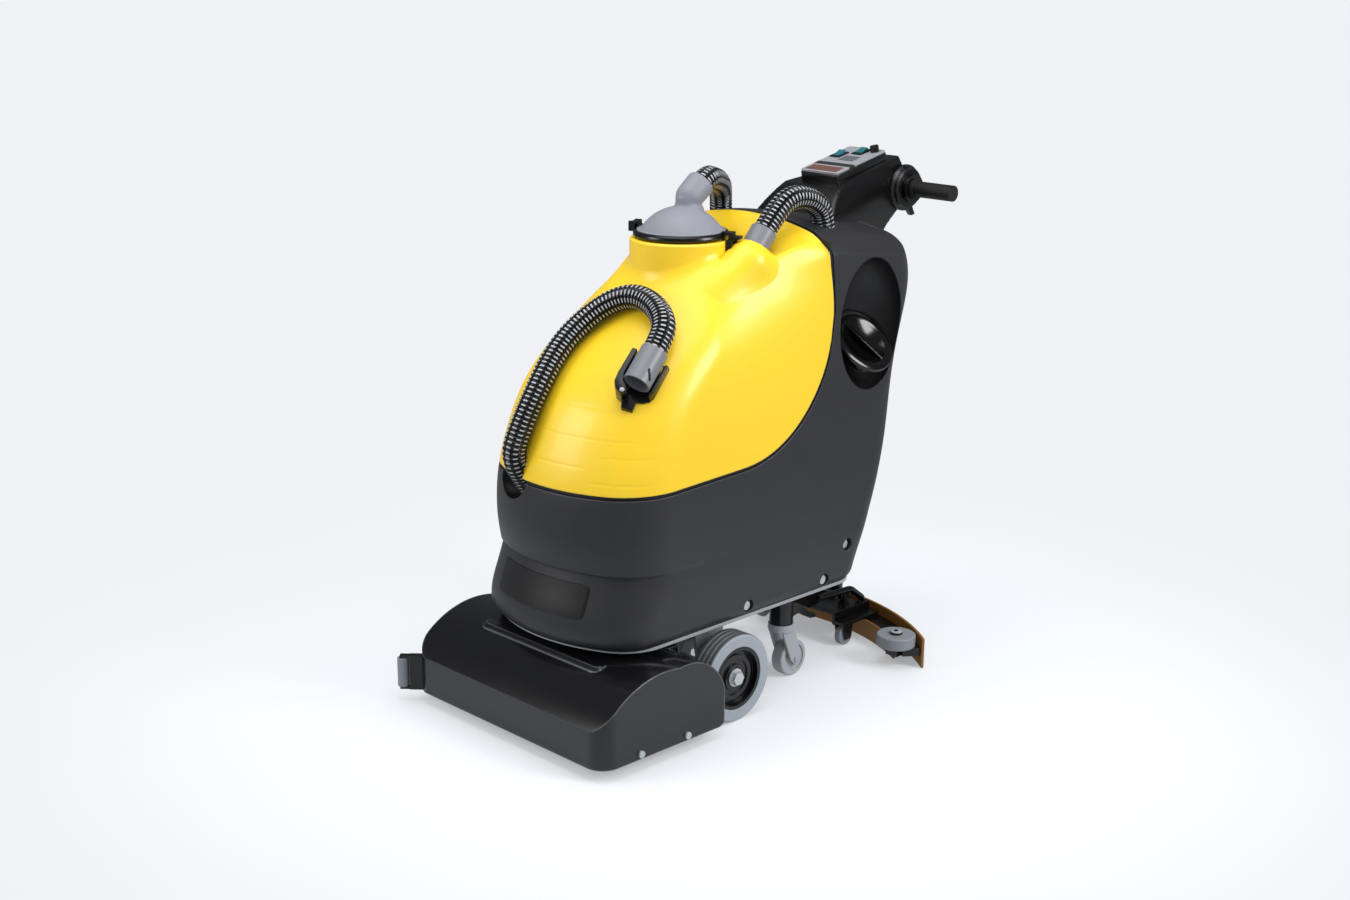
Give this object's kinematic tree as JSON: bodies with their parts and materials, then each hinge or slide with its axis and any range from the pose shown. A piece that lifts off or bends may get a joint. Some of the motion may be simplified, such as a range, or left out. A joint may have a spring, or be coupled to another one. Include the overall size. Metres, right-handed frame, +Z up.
{
  "type": "walk-behind floor scrubber",
  "caption": "Battery floor scrubber with a brush deck, trailing squeegee, yellow recovery tank with a lidded neck and hoses, and a twist handle.",
  "frame": {"origin": "on the floor, midway across the machine and midway along its length", "axes": "+X to the machine's left side, -Y to the front with the brush deck, +Z up"},
  "size_m": [0.634, 1.1254, 1.0373],
  "materials": {
    "tank_yellow": "glossy moulded yellow",
    "body_grey": "satin moulded charcoal",
    "console_black": "glossy black",
    "cap_black": "glossy black",
    "deck_black": "glossy black top, satin front",
    "black_plastic": "satin black",
    "rim_black": "satin black",
    "hose_black": "flexible ribbed black",
    "seal_rubber": "matte black",
    "ring_rubber": "satin black",
    "grip_black": "satin black",
    "cuff_grey": "satin light grey",
    "lid_grey": "satin light grey",
    "panel_silver": "brushed silver plate",
    "rocker_teal": "glossy teal",
    "tyre_grey": "light grey non-marking rubber",
    "roller_grey": "light grey non-marking rubber",
    "roller_light": "satin light grey",
    "caster_grey": "satin grey",
    "blade_amber": "translucent amber gum",
    "bristle": "stiff bristle",
    "arm_black": "black powder coat",
    "chassis_steel": "silver powder coat",
    "axle_chrome": "bright",
    "fastener": "bright",
    "motor_steel": "grey paint",
    "battery_black": "satin black"
  },
  "bodies": {
    "machine": {"chassis_frame": "chassis_steel", "body_shell": "body_grey", "body_bolts": "fastener", "recovery_tank": "tank_yellow", "tank_seal": "seal_rubber", "drain_hose": "hose_black", "hose_cuffs": "cuff_grey", "drain_holder": "black_plastic", "recovery_hose": "hose_black", "vacuum_hose": "hose_black", "console_housing": "console_black", "control_panel": "panel_silver", "vacuum_motor": "motor_steel", "batteries": "battery_black", "transaxle": "motor_steel", "drive_axle": "axle_chrome", "lid_fixings": "black_plastic", "caster_collars": "black_plastic"},
    "wheel_left": {"tyre_left": "tyre_grey", "rim_left": "rim_black"},
    "wheel_right": {"tyre_right": "tyre_grey", "rim_right": "rim_black"},
    "fork_left": {"caster_fork_left": "caster_grey"},
    "fork_right": {"caster_fork_right": "caster_grey"},
    "caster_left": {"caster_wheel_left": "caster_grey"},
    "caster_right": {"caster_wheel_right": "caster_grey"},
    "pedal_left": {"caster_pedal_left": "black_plastic"},
    "pedal_right": {"caster_pedal_right": "black_plastic"},
    "deck": {"deck_cover": "deck_black", "deck_screws": "fastener", "deck_frame": "chassis_steel", "brush_motor": "motor_steel", "brush_belt": "seal_rubber", "lift_arms": "chassis_steel", "guide_bracket": "black_plastic"},
    "front_brush": {"front_brush_core": "rim_black", "front_brush_bristles": "bristle"},
    "rear_brush": {"rear_brush_core": "rim_black", "rear_brush_bristles": "bristle"},
    "pulley": {"motor_pulley": "motor_steel"},
    "guide": {"guide_roller": "roller_light"},
    "arm": {"squeegee_arm": "arm_black"},
    "squeegee": {"squeegee_frame": "arm_black", "squeegee_knobs": "black_plastic", "front_blade": "blade_amber", "rear_blade": "blade_amber"},
    "roller_left": {"end_roller_left": "roller_grey"},
    "roller_right": {"end_roller_right": "roller_grey"},
    "truck_left": {"truck_wheel_left": "roller_grey"},
    "truck_right": {"truck_wheel_right": "roller_grey"},
    "lid": {"lid_ring": "ring_rubber", "lid_dome": "lid_grey", "lid_elbow": "lid_grey"},
    "latch": {"lid_latch": "black_plastic"},
    "cap": {"fill_cap": "cap_black"},
    "switch_left": {"rocker_left": "rocker_teal"},
    "switch_right": {"rocker_right": "rocker_teal"},
    "knob": {"speed_knob": "black_plastic"},
    "throttle": {"throttle_bar": "black_plastic", "hand_grips": "grip_black"}
  },
  "joints": [
    {"name": "wheel_left_roll", "type": "hinge", "parent": "machine", "child": "wheel_left", "pos_m": [0.2125, -0.14725, 0.088], "axis": [1, 0, 0], "continuous": true},
    {"name": "fork_left_swivel", "type": "hinge", "parent": "machine", "child": "fork_left", "pos_m": [0.143, 0.07775, 0.118], "axis": [0, 0, 1], "continuous": true},
    {"name": "caster_left_roll", "type": "hinge", "parent": "fork_left", "child": "caster_left", "pos_m": [0.143, 0.10375, 0.038], "axis": [1, 0, 0], "continuous": true},
    {"name": "pedal_left_press", "type": "hinge", "parent": "machine", "child": "pedal_left", "pos_m": [0.143, 0.11475, 0.142], "axis": [-1, 0, 0], "range_deg": [0, 12]},
    {"name": "roller_left_spin", "type": "hinge", "parent": "squeegee", "child": "roller_left", "pos_m": [0.264, 0.29875, 0.044], "axis": [0, 0, 1], "continuous": true},
    {"name": "truck_left_roll", "type": "hinge", "parent": "squeegee", "child": "truck_left", "pos_m": [0.115, 0.31075, 0.022], "axis": [1, 0, 0], "continuous": true},
    {"name": "wheel_right_roll", "type": "hinge", "parent": "machine", "child": "wheel_right", "pos_m": [-0.2125, -0.14725, 0.088], "axis": [1, 0, 0], "continuous": true},
    {"name": "fork_right_swivel", "type": "hinge", "parent": "machine", "child": "fork_right", "pos_m": [-0.143, 0.07775, 0.118], "axis": [0, 0, 1], "continuous": true},
    {"name": "caster_right_roll", "type": "hinge", "parent": "fork_right", "child": "caster_right", "pos_m": [-0.143, 0.10375, 0.038], "axis": [1, 0, 0], "continuous": true},
    {"name": "pedal_right_press", "type": "hinge", "parent": "machine", "child": "pedal_right", "pos_m": [-0.143, 0.11475, 0.142], "axis": [-1, 0, 0], "range_deg": [0, 12]},
    {"name": "roller_right_spin", "type": "hinge", "parent": "squeegee", "child": "roller_right", "pos_m": [-0.264, 0.29875, 0.044], "axis": [0, 0, 1], "continuous": true},
    {"name": "truck_right_roll", "type": "hinge", "parent": "squeegee", "child": "truck_right", "pos_m": [-0.115, 0.31075, 0.022], "axis": [1, 0, 0], "continuous": true},
    {"name": "deck_lift", "type": "hinge", "parent": "machine", "child": "deck", "pos_m": [0, -0.17225, 0.155], "axis": [-1, 0, 0], "range_deg": [0, 3]},
    {"name": "front_brush_spin", "type": "hinge", "parent": "deck", "child": "front_brush", "pos_m": [0, -0.44325, 0.049], "axis": [1, 0, 0], "continuous": true},
    {"name": "rear_brush_spin", "type": "hinge", "parent": "deck", "child": "rear_brush", "pos_m": [0, -0.33925, 0.049], "axis": [1, 0, 0], "continuous": true},
    {"name": "pulley_spin", "type": "hinge", "parent": "deck", "child": "pulley", "pos_m": [-0.25, -0.39125, 0.123], "axis": [1, 0, 0], "continuous": true},
    {"name": "guide_spin", "type": "hinge", "parent": "deck", "child": "guide", "pos_m": [-0.287, -0.55125, 0.03], "axis": [0, 0, 1], "continuous": true},
    {"name": "squeegee_lift", "type": "hinge", "parent": "machine", "child": "arm", "pos_m": [0, 0.16775, 0.14], "axis": [1, 0, 0], "range_deg": [0, 12]},
    {"name": "squeegee_swing", "type": "hinge", "parent": "arm", "child": "squeegee", "pos_m": [0, 0.32275, 0.096], "axis": [0, 0, 1], "range_deg": [-10, 10]},
    {"name": "lid_open", "type": "hinge", "parent": "machine", "child": "lid", "pos_m": [-0.09209, -0.10977, 0.921], "axis": [0.342, -0.9397, 0], "range_deg": [0, 50], "deforming": ["vacuum_hose"]},
    {"name": "latch_release", "type": "hinge", "parent": "machine", "child": "latch", "pos_m": [0.09867, -0.04034, 0.901], "axis": [-0.342, 0.9397, 0], "range_deg": [0, 14]},
    {"name": "cap_turn", "type": "hinge", "parent": "machine", "child": "cap", "pos_m": [0.19, 0.25075, 0.684], "axis": [0.7314, 0, 0.682], "range_deg": [0, 90]},
    {"name": "switch_left_press", "type": "hinge", "parent": "machine", "child": "switch_left", "pos_m": [0.006, 0.44443, 1.02178], "axis": [-1, 0, 0], "range_deg": [0, 16]},
    {"name": "switch_right_press", "type": "hinge", "parent": "machine", "child": "switch_right", "pos_m": [-0.03, 0.41708, 1.01576], "axis": [-1, 0, 0], "range_deg": [0, 16]},
    {"name": "knob_turn", "type": "hinge", "parent": "machine", "child": "knob", "pos_m": [0.032, 0.45658, 1.0224], "axis": [0, -0.2147, 0.9767], "range_deg": [0, 270]},
    {"name": "throttle_twist", "type": "hinge", "parent": "machine", "child": "throttle", "pos_m": [0, 0.52475, 0.945], "axis": [1, 0, 0], "range_deg": [-20, 20], "stiffness_Nm_per_rad": 2}
  ],
  "couplings": [
    {"joint": "rear_brush_spin", "follows": "front_brush_spin", "ratio": -1},
    {"joint": "pulley_spin", "follows": "front_brush_spin", "ratio": 1.25}
  ]
}
